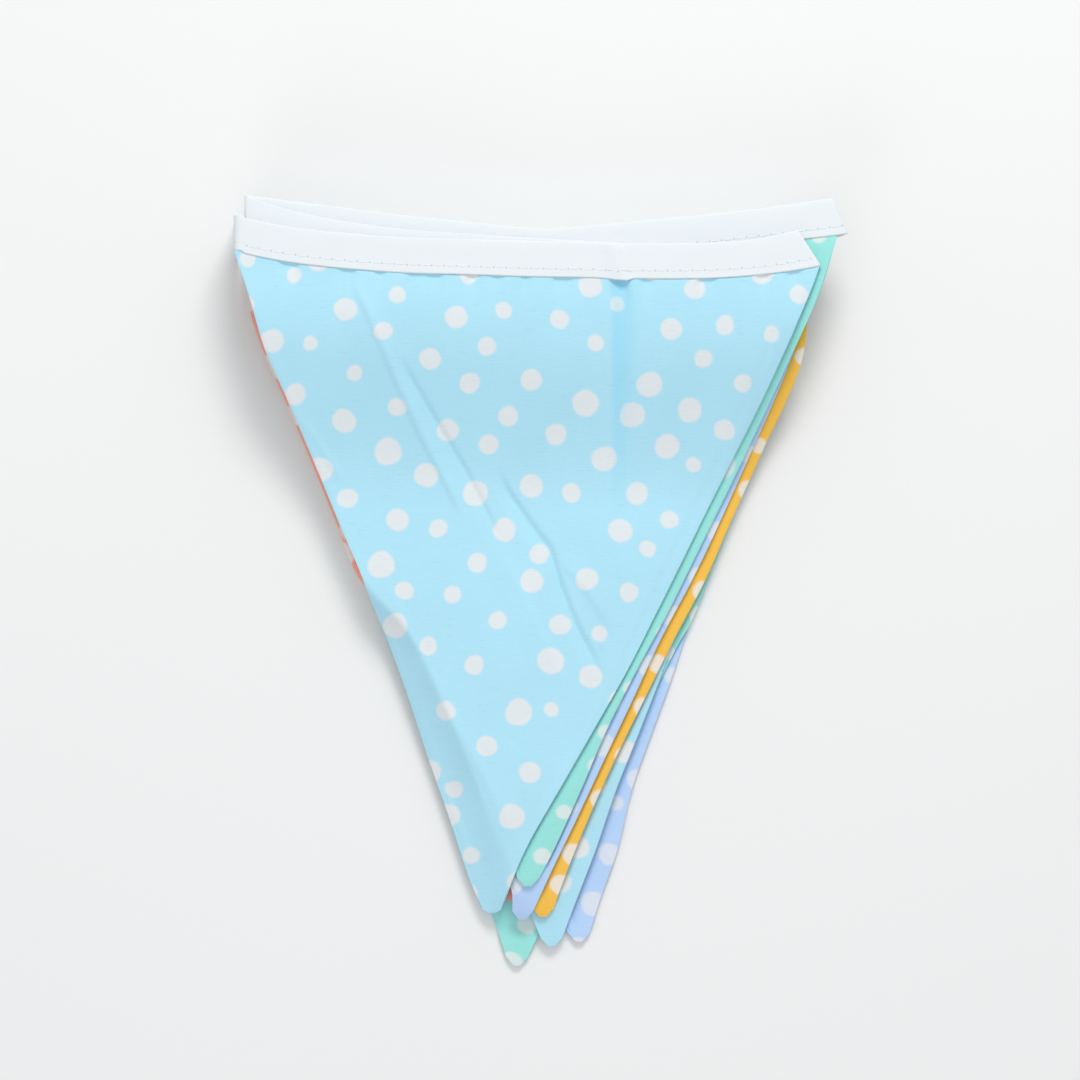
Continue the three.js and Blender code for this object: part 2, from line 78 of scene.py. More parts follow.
# The left sides lie almost on each other, and each pennant's `inset` moves it in from this line.
LEFT_SIDE = [(-94.2, 91.3), (-89.3, 75.1), (-82.2, 58.9), (-74.0, 39.5), (-66.1, 20.1), (-57.9, 0.6)]
PENNANTS = [
    dict(cloth="light_blue", tape_left=(-99.0, 106.8), tape_right=(90.3, 101.9), sag=5.8, flat=4.0,
         slant=-0.65, corner_in=0.6, inset=0.5, tip=(-15.8, -107.4),
         left=[(-49.5, -18.8), (-42.5, -38.2), (-36.2, -57.6), (-29.4, -77.0), (-23.0, -96.4)],
         right=[(85.8, 91.3), (72.8, 62.1), (58.5, 33.0), (47.4, 10.4), (37.8, -9.1), (28.0, -28.5),
                (17.0, -47.9), (5.9, -67.3), (-5.0, -86.7)]),
    dict(cloth="teal", tape_left=(-95.5, 113.3), tape_right=(99.0, 112.3), sag=10.4, flat=1.2,
         slant=-0.42, corner_in=3.4, inset=1.6, tip=(-4.2, -98.5), shift=6.0,
         left=[(-43.4, -15.2), (-32.4, -37.7), (-18.4, -61.8), (-11.5, -80.0)],
         right=[(88.9, 91.3), (75.7, 62.1), (62.1, 33.0), (51.0, 10.4), (41.4, -9.1), (31.0, -28.5),
                (21.2, -47.9), (12.9, -67.3), (4.1, -86.7)]),
    dict(cloth="periwinkle", tape_left=(-94.6, 105.8), tape_right=(91.9, 104.6), sag=5.0, flat=4.0,
         slant=-0.2, corner_in=1.0, inset=2.0, tip=(-6.0, -109.4),
         left=[(-42.6, -15.2), (-31.4, -37.7), (-19.5, -65.0), (-12.5, -91.0), (-9.3, -100.0)],
         right=[(80.6, 71.8), (68.3, 42.7), (58.3, 20.1), (48.9, 0.6), (38.6, -18.8), (29.6, -38.2),
                (20.4, -57.6), (11.4, -77.0), (3.6, -93.2)]),
    dict(cloth="yellow", tape_left=(-95.2, 104.8), tape_right=(86.8, 104.6), sag=5.0, flat=4.0,
         slant=-0.15, corner_in=1.0, inset=1.2, tip=(0.6, -108.6),
         left=[(-42.0, -15.2), (-30.8, -37.7)],
         right=[(84.8, 73.5), (71.8, 42.7), (61.7, 20.1), (53.2, 0.6), (43.0, -18.8), (33.4, -38.2),
                (23.9, -57.6), (15.2, -77.0), (8.6, -93.2)]),
    dict(cloth="coral", tape_left=(-94.0, 105.2), tape_right=(88.7, 105.4), sag=4.6, flat=4.0,
         slant=-0.2, corner_in=1.0, inset=-0.5, tip=(-9.4, -103.6),
         right=[(40.5, -1.0)],
         left=[(-43.0, -15.2), (-31.8, -37.7), (-20.4, -64.0)]),
    dict(cloth="light_blue", tape_left=(-94.8, 104.6), tape_right=(89.0, 104.2), sag=5.0, flat=4.0,
         slant=-0.1, corner_in=1.0, inset=1.5, tip=(3.4, -118.4),
         left=[(-42.2, -15.2), (-31.0, -37.7)],
         right=[(62.0, 33.0), (50.0, 0.6), (39.7, -28.5), (32.2, -47.9), (24.4, -67.3), (17.8, -86.7),
                (11.2, -104.0)]),
    dict(cloth="teal", tape_left=(-93.8, 105.4), tape_right=(92.2, 104.2), sag=4.8, flat=4.0,
         slant=-0.2, corner_in=1.0, inset=1.0, tip=(-7.8, -124.8),
         right=[(70.0, 42.0), (50.5, -9.1), (40.5, -28.5)],
         left=[(-47.5, -18.8), (-40.5, -38.2), (-33.0, -60.0), (-17.5, -103.0)]),
    dict(cloth="periwinkle", tape_left=(-94.4, 104.8), tape_right=(87.6, 104.6), sag=5.2, flat=4.0,
         slant=-0.1, corner_in=1.0, inset=1.8, tip=(12.4, -117.0), shift=5.0,
         left=[(-42.5, -15.2), (-30.5, -37.7)],
         right=[(65.7, 40.0), (52.8, 0.0), (43.4, -28.5), (36.4, -47.9), (29.6, -67.3), (25.0, -86.7),
                (19.3, -102.9)]),
    dict(cloth="yellow", tape_left=(-94.2, 105.0), tape_right=(88.2, 105.0), sag=4.6, flat=4.0,
         slant=-0.2, corner_in=1.0, inset=1.4, tip=(-3.0, -104.0),
         right=[], left=[(-42.8, -15.2), (-31.2, -37.7)]),
    dict(cloth="coral", tape_left=(-95.6, 104.6), tape_right=(85.0, 104.8), sag=4.8, flat=4.0,
         slant=-0.1, corner_in=1.0, inset=1.1, tip=(-13.4, -102.4),
         right=[], left=[(-45.5, -15.2), (-38.5, -38.0), (-28.0, -72.0)]),
]
LAST = len(PENNANTS) - 1
WALL_X = PENNANTS[0]["tape_left"][0] + CLOTH / 2  # where the free end of the tape goes down the left side
WALL_BEND = 2.0  # radius of the bends at its top and foot
WALL_IN = WALL_X + WALL_BEND + 1  # where it lies flat again
print(len(PENNANTS), "pennants,", round(LAYER, 2), "mm from layer to layer")

# %% [markdown]
# ## Colours and a node helper
#
# Colours are written as the hex values that a screen shows, and one function turns them into the linear
# light that the shader works in. One small function adds any node with its settings and its links, so that
# a material reads as a short list of steps.

# %% Colour and node helpers
def linear(hex_colour):
    channels = [int(hex_colour[k:k + 2], 16) / 255 for k in (1, 3, 5)]
    return [c / 12.92 if c <= 0.04045 else ((c + 0.055) / 1.055) ** 2.4 for c in channels] + [1.0]


def two_colours(first, second):
    """The inputs of a Mix node that goes from one colour to the other."""
    return {"A": linear(first), "B": linear(second)}


def add_node(tree, kind, links=None, inputs=None, **settings):
    node = tree.nodes.new(kind)
    for name, value in settings.items():
        setattr(node, name, value)
    for name, value in (inputs or {}).items():
        node.inputs[name].default_value = value
    for name, source in (links or {}).items():
        tree.links.new(source, node.inputs[name])
    return node


def new_material(name):
    material = bpy.data.materials.new(name)
    material.use_nodes = True
    tree = material.node_tree
    tree.nodes.clear()
    return material, tree


def finish_surface(tree, links, roughness, sheen):
    surface = add_node(tree, "ShaderNodeBsdfPrincipled", links=links,
                       inputs={"Roughness": roughness, "Specular IOR Level": 0.22,
                               "Sheen Weight": sheen, "Sheen Roughness": 0.45})
    add_node(tree, "ShaderNodeOutputMaterial", links={"Surface": surface.outputs["BSDF"]})


print("light blue as linear light:", [round(c, 3) for c in linear("#b3e6f8")])

# %% [markdown]
# ## Printed cotton
#
# The pennants are a light plain-weave cotton, dyed one colour and printed with pale dots of many sizes.
# Cotton of this kind is matt, with a faint bloom from its loose fibres, so the surface is rough, with little
# gloss and a touch of sheen. Slubs, the thicker stretches of spun yarn, run across it as fine short streaks.
#
# The dots come from a Voronoi texture: each cell holds one dot, and the cell's own random colour sets that
# dot's radius. Pattern and weave read the cloth's own map, in metres, so they follow every drape and crease.
# The pattern is turned on the cloth, so that its rows and the threads don't run the same way.
#
# In the tuck's channel, where the cloth folds in on itself, the colour is painted darker as shade. The mesh
# says where, with a value at each of its points, and there the material multiplies the print by a darker
# colour, the painted shade.

# %% Dotted cotton
DOT_SPACING = 0.0158  # from dot to dot, in metres
DOT_RADIUS = (0.155, 0.285)  # smallest and largest, as parts of the spacing
DOT_TURN = math.radians(27)  # from the threads to the rows of dots
DOT_SCATTER = 0.52  # 0 keeps the dots in rows, and 1 scatters them freely
DOT_EDGE = 0.036  # softness of a printed edge, as a part of the spacing
WOBBLE = 0.0005  # how far a dot's outline strays from round, in metres
SLUB = (180.0, 2000.0)  # streaks about 5 mm long and 0.5 mm wide, wide enough to show
SLUB_SHADE = (0.93, 1.0)  # a streak's shade, and the plain cloth's
DYE_SHADE = (0.96, 1.03)  # the palest and the deepest stretch of dye
TUCK_SHADE_PAINT = (0.83, 0.95, 1.0, 1.0)  # painted shade: the colour is multiplied by this in the tuck's channel
THREAD = 520.0  # one thread in 0.6 mm, about twice as coarse as the real weave, so that it shows

COTTONS = {
    "light_blue": ("#b3e6f8", "#e4ebee"),
    "teal": ("#9ee7e1", "#dbece9"),
    "periwinkle": ("#bbd7fc", "#dfe6f3"),
    "yellow": ("#fcc653", "#f3e8d6"),
    "coral": ("#fbab99", "#f3e0da"),
}


def dotted_cotton(cloth):
    ground, dot = COTTONS[cloth]
    material, tree = new_material("printed cotton, " + cloth.replace("_", " "))
    cut = add_node(tree, "ShaderNodeUVMap", uv_map="cut").outputs["UV"]

    stray = add_node(tree, "ShaderNodeTexNoise", links={"Vector": cut}, noise_dimensions="2D",
                     inputs={"Scale": 150.0, "Detail": 0.0})
    centred = add_node(tree, "ShaderNodeVectorMath", links={0: stray.outputs["Color"]},
                       inputs={1: (0.5, 0.5, 0.5)}, operation="SUBTRACT")
    wobble = add_node(tree, "ShaderNodeVectorMath", links={0: centred.outputs[0]},
                      inputs={"Scale": WOBBLE * 2}, operation="SCALE")
    strayed = add_node(tree, "ShaderNodeVectorMath", links={0: cut, 1: wobble.outputs[0]}, operation="ADD")
    turned = add_node(tree, "ShaderNodeMapping", links={"Vector": strayed.outputs[0]},
                      inputs={"Rotation": (0.0, 0.0, DOT_TURN)})
    cells = add_node(tree, "ShaderNodeTexVoronoi", links={"Vector": turned.outputs[0]},
                     inputs={"Scale": 1 / DOT_SPACING, "Randomness": DOT_SCATTER}, voronoi_dimensions="2D")
    chance = add_node(tree, "ShaderNodeSeparateColor", links={0: cells.outputs["Color"]})
    radius = add_node(tree, "ShaderNodeMapRange", links={"Value": chance.outputs[0]},
                      inputs={"To Min": DOT_RADIUS[0], "To Max": DOT_RADIUS[1]})
    past = add_node(tree, "ShaderNodeMath", links={0: cells.outputs["Distance"], 1: radius.outputs[0]},
                    operation="SUBTRACT")
    print_mask = add_node(tree, "ShaderNodeMapRange", links={"Value": past.outputs[0]},
                          inputs={"From Min": -DOT_EDGE, "From Max": DOT_EDGE, "To Min": 1.0, "To Max": 0.0},
                          interpolation_type="SMOOTHSTEP")

    stretched = add_node(tree, "ShaderNodeMapping", links={"Vector": cut}, inputs={"Scale": (*SLUB, 1.0)})
    yarn = add_node(tree, "ShaderNodeTexNoise", links={"Vector": stretched.outputs[0]}, noise_dimensions="2D",
                    inputs={"Scale": 1.0, "Detail": 2.0, "Roughness": 0.6})
    slub = add_node(tree, "ShaderNodeMapRange", links={"Value": yarn.outputs["Fac"]},
                    inputs={"From Min": 0.22, "From Max": 0.36,
                            "To Min": SLUB_SHADE[0], "To Max": SLUB_SHADE[1]})
    dyed = add_node(tree, "ShaderNodeTexNoise", links={"Vector": cut}, noise_dimensions="2D",
                    inputs={"Scale": 38.0, "Detail": 3.0})
    patch = add_node(tree, "ShaderNodeMapRange", links={"Value": dyed.outputs["Fac"]},
                     inputs={"To Min": DYE_SHADE[0], "To Max": DYE_SHADE[1]})
    shade = add_node(tree, "ShaderNodeMath", links={0: slub.outputs[0], 1: patch.outputs[0]},
                     operation="MULTIPLY")
    printed = add_node(tree, "ShaderNodeMix", links={"Factor": print_mask.outputs[0]},
                       inputs=two_colours(ground, dot), data_type="RGBA")
    # Painted shade in the tuck's channel: the print is multiplied by a darker colour where the mesh's value
    # is high.
    shade_in_tuck = add_node(tree, "ShaderNodeAttribute", attribute_name="painted_tuck_shade")
    tuck_shaded = add_node(tree, "ShaderNodeMix", inputs={"B": TUCK_SHADE_PAINT},
                      links={"Factor": shade_in_tuck.outputs["Fac"], "A": printed.outputs["Result"]},
                      data_type="RGBA", blend_type="MULTIPLY")
    colour = add_node(tree, "ShaderNodeVectorMath", operation="SCALE",
                      links={0: tuck_shaded.outputs["Result"], "Scale": shade.outputs[0]})

    thread_waves = {"Scale": THREAD, "Distortion": 1.5, "Detail": 1.0, "Detail Scale": 0.3}
    warp, weft = (add_node(tree, "ShaderNodeTexWave", links={"Vector": cut}, inputs=thread_waves,
                           bands_direction=direction) for direction in "XY")
    weave = add_node(tree, "ShaderNodeMath", links={0: warp.outputs["Fac"], 1: weft.outputs["Fac"]},
                     operation="ADD")
    height = add_node(tree, "ShaderNodeMath", links={0: weave.outputs[0], 2: yarn.outputs["Fac"]},
                      inputs={1: 0.2}, operation="MULTIPLY_ADD")
    bump = add_node(tree, "ShaderNodeBump", links={"Height": height.outputs[0]},
                    inputs={"Strength": 0.35, "Distance": 0.00012})
    finish_surface(tree, {"Base Color": colour.outputs[0], "Normal": bump.outputs[0]},
                   roughness=0.88, sheen=0.12)
    return material


cottons = {cloth: dotted_cotton(cloth) for cloth in COTTONS}
print("cottons:", ", ".join(m.name for m in cottons.values()))

# %% [markdown]
# ## Tape and thread
#
# The tape is a bleached cotton, cool white, denser than the pennants and so a little smoother. A machine
# stitch holds its two edges together. The needle leaves a small hole at each end of a stitch, and on white
# cloth it is those holes that show, more than the white thread. The shade in each hole is painted into the
# tape's colour as a darker spot, over a small dent.

# %% Bleached tape and sewing thread
STITCH = 0.004  # from needle hole to needle hole, in metres
STITCH_IN = 0.0026  # from the tape's lower edge to the stitch line
HOLE = 0.00026  # radius of a needle hole, drawn a little large so that it shows
TAPE_COLOUR = "#e8eef2"
# Painted shade in the needle holes.
NEEDLE_HOLE_SHADE = "#c6d1d8"
THREAD_TWIST_SHADING = ("#dfe6eb", "#edf2f5")  # painted shade in the hollows of its twist, and the thread's white on top


def bleached_tape():
    material, tree = new_material("bleached cotton tape")
    cut = add_node(tree, "ShaderNodeUVMap", uv_map="cut").outputs["UV"]
    place = add_node(tree, "ShaderNodeSeparateXYZ", links={0: cut})
    # A hole lies at each end of a stitch, so half of one stitch is mirrored to and fro along the tape.
    along = add_node(tree, "ShaderNodeMath", links={0: place.outputs["X"]}, inputs={1: STITCH / 2},
                     operation="PINGPONG")
    # The two walls of the fold mirror each other about the middle of the cut width.
    from_fold = add_node(tree, "ShaderNodeMath", links={0: place.outputs["Y"]},
                         inputs={1: TAPE_WIDTH * MM}, operation="PINGPONG")
    across = add_node(tree, "ShaderNodeMath", links={0: from_fold.outputs[0]}, inputs={1: STITCH_IN},
                      operation="SUBTRACT")
    hole_place = add_node(tree, "ShaderNodeCombineXYZ", links={"X": along.outputs[0], "Y": across.outputs[0]})
    hole_far = add_node(tree, "ShaderNodeVectorMath", links={0: hole_place.outputs[0]}, operation="LENGTH")
    hole = add_node(tree, "ShaderNodeMapRange", links={"Value": hole_far.outputs["Value"]},
                    inputs={"From Min": HOLE * 0.5, "From Max": HOLE * 1.6, "To Min": 1.0, "To Max": 0.0},
                    interpolation_type="SMOOTHSTEP")
    grain = add_node(tree, "ShaderNodeTexNoise", links={"Vector": cut}, noise_dimensions="2D",
                     inputs={"Scale": 1400.0, "Detail": 2.0})
    # Painted shade: the tape's colour darkens in each needle hole.
    colour = add_node(tree, "ShaderNodeMix", links={"Factor": hole.outputs[0]},
                      inputs=two_colours(TAPE_COLOUR, NEEDLE_HOLE_SHADE), data_type="RGBA")
    height = add_node(tree, "ShaderNodeMath", links={0: hole.outputs[0], 2: grain.outputs["Fac"]},
                      inputs={1: -2.0}, operation="MULTIPLY_ADD")
    bump = add_node(tree, "ShaderNodeBump", links={"Height": height.outputs[0]},
                    inputs={"Strength": 0.3, "Distance": 0.00012})
    finish_surface(tree, {"Base Color": colour.outputs["Result"], "Normal": bump.outputs[0]},
                   roughness=0.8, sheen=0.08)
    return material


def sewing_thread():
    material, tree = new_material("polyester sewing thread")
    place = add_node(tree, "ShaderNodeTexCoord").outputs["Object"]
    twist = add_node(tree, "ShaderNodeTexWave", links={"Vector": place}, bands_direction="DIAGONAL",
                     inputs={"Scale": 900.0})
    bump = add_node(tree, "ShaderNodeBump", links={"Height": twist.outputs["Fac"]},
                    inputs={"Strength": 0.4, "Distance": 0.00005})
    # Painted shade: the thread is darker in the hollows of its twist.
    shade = add_node(tree, "ShaderNodeMix", links={"Factor": twist.outputs["Fac"]},
                     inputs=two_colours(*THREAD_TWIST_SHADING), data_type="RGBA")
    finish_surface(tree, {"Base Color": shade.outputs["Result"], "Normal": bump.outputs[0]},
                   roughness=0.55, sheen=0.05)
    return material


tape_cloth = bleached_tape()
thread = sewing_thread()
print("one stitch is", STITCH / MM, "mm long")

# %% [markdown]
# ## How the tape runs and how a pennant is cut
#
# The tape's lower edge over each pennant is a shallow curve. Below it, a pennant's side edges run to a blunt
# tip: sewn and turned inside out, a sharp corner never comes out sharp. A smooth curve through a few places
# gives each side, and is then read as x for any y.

# %% Edges of the tape and of the pennants
GIVES_WAY = (8.0, 12.0)  # a pennant stops hiding those below from this far above its tip, over this length
FAR_IN = 60.0  # far enough to the left to count as not there
ABOVE_TAPE = 140.0  # a y well above the tape


def smooth(t):
    """0 up to t = 0 and 1 from t = 1, with an easy rise between them."""
    s = np.clip(t, 0.0, 1.0)
    return s * s * (3 - 2 * s)


def tape_layer(i):
    """How many layers of tape lie under pennant i: a run and a bare run for each pennant below it."""
    return END_RUNS + 2 * (LAST - i)


def layer_height(layer):
    return CLOTH / 2 + layer * LAYER


def run_of(i):
    p = PENNANTS[i]
    return dict(left=p["tape_left"], right=p["tape_right"], sag=p["sag"], flat=p["flat"], slant=p["slant"])


def run_edge(run, x):
    u = (np.asarray(x, float) - run["left"][0]) / (run["right"][0] - run["left"][0])
    chord = run["left"][1] + (run["right"][1] - run["left"][1]) * u
    return chord - run["sag"] * (1 - np.abs(2 * u - 1) ** run["flat"])


def curve_through(points, steps=24):
    """A smooth curve through the points, or the straight line between two."""
    p = np.array(points, float)
    if len(p) == 2:
        return p
    parts = []
    for k in range(len(p) - 1):
        before, a, b, after = p[max(k - 1, 0)], p[k], p[k + 1], p[min(k + 2, len(p) - 1)]
        leave, arrive = (b - before) / 2, (after - a) / 2
        t = np.linspace(0, 1, steps, endpoint=False)[:, None]
        parts.append((2 * a - 2 * b + leave + arrive) * t ** 3
                     + (3 * b - 3 * a - 2 * leave - arrive) * t ** 2 + leave * t + a)
    return np.vstack(parts + [p[-1:]])


def sides_of(i):
    """The left and right side of a pennant, from its tip's shoulders up to the tape."""
    p, run = PENNANTS[i], run_of(i)
    x_left, x_right = p["tape_left"][0] + GAP, p["tape_right"][0] - p["corner_in"]
    tip_x, tip_y = p["tip"]
    sides = []
    left_through = [(x + p["inset"], y) for x, y in LEFT_SIDE] + p["left"]
    for x, through, lean in ((x_left, left_through, -1), (x_right, p["right"], 1)):
        corner = (x, float(run_edge(run, x)))
        shoulder = (tip_x + lean * TIP_WIDTH / 2, tip_y + TIP_ROUND)
        sides.append(curve_through([corner, *through, shoulder])[::-1])
    return sides


def side_x(side, y):
    return np.interp(y, side[:, 1], side[:, 0])


def farthest_right(i, y):
    """Right side of everything that lies above pennant i, at each y, falling away past each tip."""
    above = []
    for j in range(i):
        past_tip = smooth((PENNANTS[j]["tip"][1] + GIVES_WAY[0] - y) / GIVES_WAY[1])
        above.append(side_x(sides_of(j)[1], y) - FAR_IN * past_tip)
    return np.max(above, axis=0)


def outline_of(i):
    """Closed outline of a pennant, carried on above the tape, for what it holds up."""
    left, right = sides_of(i)
    tip_x, tip_y = PENNANTS[i]["tip"]
    half = TIP_WIDTH / 2 - TIP_ROUND
    tip = [(tip_x + half, tip_y), (tip_x - half, tip_y)]
    top = [(left[-1, 0], ABOVE_TAPE), (right[-1, 0], ABOVE_TAPE)]
    return np.vstack([tip, left, top, right[::-1]])


outlines = [outline_of(i) for i in range(len(PENNANTS))]
print("the top pennant is", round(float(np.ptp(outlines[0][:, 0])), 1), "mm wide")

# %% [markdown]
# ## How the stack drapes
#
# At the tape the layers are kept apart by the tape's own bare runs, so the pennants start high and come
# down together. Below that each one rests on those under it, and comes down a layer just past the edge of
# every one that it overhangs. Adding these steps up for all the pennants below gives a height for every
# place, and two pennants can never pass through each other.

# %% Heights of the draped cloth
REST_ON = 0.8  # a pennant keeps its height this far past the edge of one below
REST_OFF = 14.0  # and has come down a layer this far past it


def distance_past(outline, x, y):
    """How far each place lies outside the outline, and 0 inside it."""
    nearest = np.full(x.shape, np.inf)
    inside = np.zeros(x.shape, bool)
    for a, b in zip(outline, np.roll(outline, -1, axis=0)):
        along = b - a
        if not along.any():
            continue
        t = np.clip(((x - a[0]) * along[0] + (y - a[1]) * along[1]) / (along @ along), 0, 1)
        nearest = np.minimum(nearest, np.hypot(a[0] + t * along[0] - x, a[1] + t * along[1] - y))
        if a[1] != b[1]:
            inside ^= ((a[1] > y) != (b[1] > y)) & (x < a[0] + (y - a[1]) / along[1] * along[0])
    return np.where(inside, 0.0, nearest)


def hang(y):
    """1 where the tape holds the layers apart, and 0 where they lie on each other."""
    return smooth(1 - (DRAPE_TOP - y) / DRAPE_LENGTH)


def drape(i, x, y):
    height = CLOTH / 2 + (tape_layer(i) - (LAST - i)) * LAYER * hang(y)
    for below in range(i + 1, LAST + 1):
        past = distance_past(outlines[below], x, y)
        # It bends sharply over the edge below and lands softly.
        held = np.clip((REST_OFF - past) / (REST_OFF - REST_ON), 0, 1) ** 1.5
        height = height + LAYER * np.maximum(held, hang(y))
    return height


print("top of the stack:", round(layer_height(tape_layer(0)) + CLOTH / 2, 2), "mm")

# %% [markdown]
# ## Creases
#
# The pennants were pressed while folded, and the top one shows it: a few straight, crisp lines with a soft
# slope on each side. Each crease is a row with the places that it passes through. A ridge has a height above
# 0 and a valley below 0, and each side has its own reach, because a pressed fold is steeper on one side.
#
# The top pennant also has a tuck, where it was caught double under the tape: a wide channel that runs down
# from there and dies away, with painted shade on its print. All along the tape the cloth hollows in small
# scallops between the gathers of the stitch line. Lower pennants only show a strip along their right side,
# where the seam puffs the cloth up.

# %% Creases of the top pennant
CREASES = [
    dict(name="long crease from the tape", height=0.75, reach=(1.7, 2.9),
         through=[(-62.0, 101.0), (-54.7, 84.8), (-46.3, 65.0), (-38.5, 47.6), (-29.4, 30.1), (-24.0, 18.0)]),
    dict(name="its broad slopes", height=0.45, reach=(10.0, 5.5),
         through=[(-61.2, 99.0), (-54.7, 84.8), (-46.3, 65.0), (-38.5, 47.6), (-29.4, 30.1), (-24.0, 18.0)]),
    dict(name="foot of the long crease", height=-0.85, reach=(4.5, 1.3),
         through=[(-48.0, 76.0), (-44.0, 70.0), (-35.3, 54.7), (-23.9, 35.6), (-17.0, 22.0), (-12.0, 11.0)]),
    dict(name="deep crease", height=-1.3, reach=(4.5, 1.4),
         through=[(-15.2, 38.8), (-10.0, 28.4), (-1.6, 16.5), (3.2, 10.5), (6.6, -1.4), (11.4, -13.5),
                  (16.7, -23.7), (20.3, -32.0)]),
    dict(name="its fork", height=0.6, reach=(2.0, 7.0),
         through=[(2.9, 11.1), (8.9, 4.5), (14.9, -2.6), (20.3, -11.0), (26.0, -19.0)]),
    dict(name="lower left crease", height=0.3, reach=(8.0, 3.0),
         through=[(-52.7, 4.5), (-43.2, -15.2), (-32.4, -37.7), (-24.3, -51.5), (-18.4, -61.8),
                  (-11.0, -78.3)]),
    dict(name="soft fold beside the deep crease", height=0.45, reach=(8.0, 3.5),
         through=[(-15.6, 16.5), (-10.8, 5.8), (-4.9, -7.4), (3.6, -25.2), (8.9, -37.2)]),
    dict(name="small crease by the left edge", height=0.35, reach=(2.2, 2.2), fade=6.0,
         through=[(-76.5, 54.0), (-74.2, 48.2), (-67.2, 37.4), (-64.0, 31.0)]),
    dict(name="short pleat under the tape", height=-0.5, reach=(1.6, 5.0),
         through=[(-43.0, 108.0), (-43.4, 96.0), (-44.6, 84.0), (-45.0, 68.0)]),
]
CREASE_FADE = 14.0  # a crease rises and dies away over this length at its ends
CREASE_SHARP = 1.3  # above 1, its slopes are steepest at the line
# The creased pennant floats above the next, so that its valleys stay clear. It rises slowly below the tape,
# and towards its right side it comes down to a part of that.
LIFT = dict(height=1.2, from_tape=30.0, from_side=16.0, at_side=0.6)
# The tuck's floor slopes down from the left over `slope` of its width, and ends at the right in a wall, which
# is sharp at the tape and grows softer over `soften`. Its painted shade starts a little inside the left edge,
# is paler towards the right, and fades out beyond it and downwards.
TUCK = dict(left=20.8, right=28.2, top=97.0, bottom=8.0, depth=1.65, slope=0.87, wall_at=0.92, wall=0.16,
            soften=12.0, softer=0.5)
# How far the tuck's painted shade reaches, in millimetres, and how much paler it gets at the right.
TUCK_SHADE_REACH = dict(inside=1.0, edge=2.4, paler=0.65, paler_from=1.8, paler_over=2.0, beyond=7.0, down=60.0)
SCALLOP = dict(depth=1.1, fade=4.0, pitches=(9.5, 15.0, 23.0))
PUFF = dict(height=1.0, rise=1.8, start=0.7)  # the last is how far it starts past the edge above it


def crease_relief(x, y):
    """Each place takes its height from the nearest point of a crease's line."""
    relief = np.zeros(x.shape)
    for crease in CREASES:
        path = np.array(crease["through"], float)
        starts, ends = path[:-1], path[1:]
        lengths = np.hypot(*(ends - starts).T)
        run_in = np.concatenate([[0], np.cumsum(lengths)])
        best = np.full(x.shape, np.inf)
        side = np.zeros(x.shape)
        place = np.zeros(x.shape)
        for a, b, length, before in zip(starts, ends, lengths, run_in):
            along = (b - a) / length
            t = np.clip((x - a[0]) * along[0] + (y - a[1]) * along[1], 0, length)
            dx, dy = x - a[0] - t * along[0], y - a[1] - t * along[1]
            d = np.hypot(dx, dy)
            closer = d < best
            best = np.where(closer, d, best)
            side = np.where(closer, along[0] * dy - along[1] * dx, side)
            place = np.where(closer, before + t, place)
        reach = np.where(side > 0, crease["reach"][1], crease["reach"][0])
        length_of_fade = crease.get("fade", CREASE_FADE)
        fade = smooth(place / length_of_fade) * smooth((run_in[-1] - place) / length_of_fade)
        relief = relief + crease["height"] * fade * np.clip(1 - best / reach, 0, 1) ** CREASE_SHARP
    return relief


def tuck_relief(x, y):
    """A channel below the tuck, with a sharp right side at the tape that grows softer further down."""
    wide = (x - TUCK["left"]) / (TUCK["right"] - TUCK["left"])
    soft = TUCK["softer"] * smooth((TUCK["top"] - y) / TUCK["soften"])
    wall = smooth((wide - TUCK["wall_at"] + soft / 2) / (TUCK["wall"] + soft))
    across = smooth(wide / TUCK["slope"]) * (1 - wall)
    fade = smooth((y - TUCK["bottom"]) / (TUCK["top"] - TUCK["bottom"])) ** 0.8
    return -TUCK["depth"] * fade * across


def tuck_shade_amount(x, y):
    """How much painted shade the tuck's channel gets, from 0 to 1, with a softer stretch at its right."""
    c = TUCK_SHADE_REACH
    shade_in_tuck = smooth((x - TUCK["left"] - c["inside"]) / c["edge"])
    paler = 1 - c["paler"] * smooth((x - TUCK["right"] + c["paler_from"]) / c["paler_over"])
    beyond = 1 - smooth((x - TUCK["right"]) / c["beyond"])
    return shade_in_tuck * paler * beyond * smooth((y - TUCK["bottom"]) / c["down"])


def lift_at(x, y, edge, right):
    """How far the top pennant floats above the next one."""
    from_side = smooth((right - x) / LIFT["from_side"])
    part = LIFT["at_side"] + (1 - LIFT["at_side"]) * from_side
    return LIFT["height"] * smooth((edge - y) / LIFT["from_tape"]) * part


def soft_waves(x, y, seed, size, height):
    """Gentle unevenness from a few fixed waves, with no two directions alike."""
    rng = np.random.default_rng(seed)
    total = np.zeros(np.shape(x))
    for _ in range(7):
        angle, phase = rng.uniform(0, 2 * math.pi, 2)
        pitch = size * rng.uniform(0.7, 1.5)
        total = total + np.sin((x * math.cos(angle) + y * math.sin(angle)) * 2 * math.pi / pitch + phase)
    return height * total / 7


def scallops(x, below_tape, seed):
    """Small hollows between gathers of the stitch line, which fade a few millimetres below the tape."""
    rng = np.random.default_rng(seed)
    wave = sum(np.sin(x * 2 * math.pi / pitch + rng.uniform(0, 6)) for pitch in SCALLOP["pitches"]) / 1.8
    # Where the waves add up there is a hollow, and elsewhere the cloth stays up.
    hollow = smooth((wave + 0.1) / 0.9)
    return -SCALLOP["depth"] * hollow * np.exp(-np.clip(below_tape, 0, None) / SCALLOP["fade"])


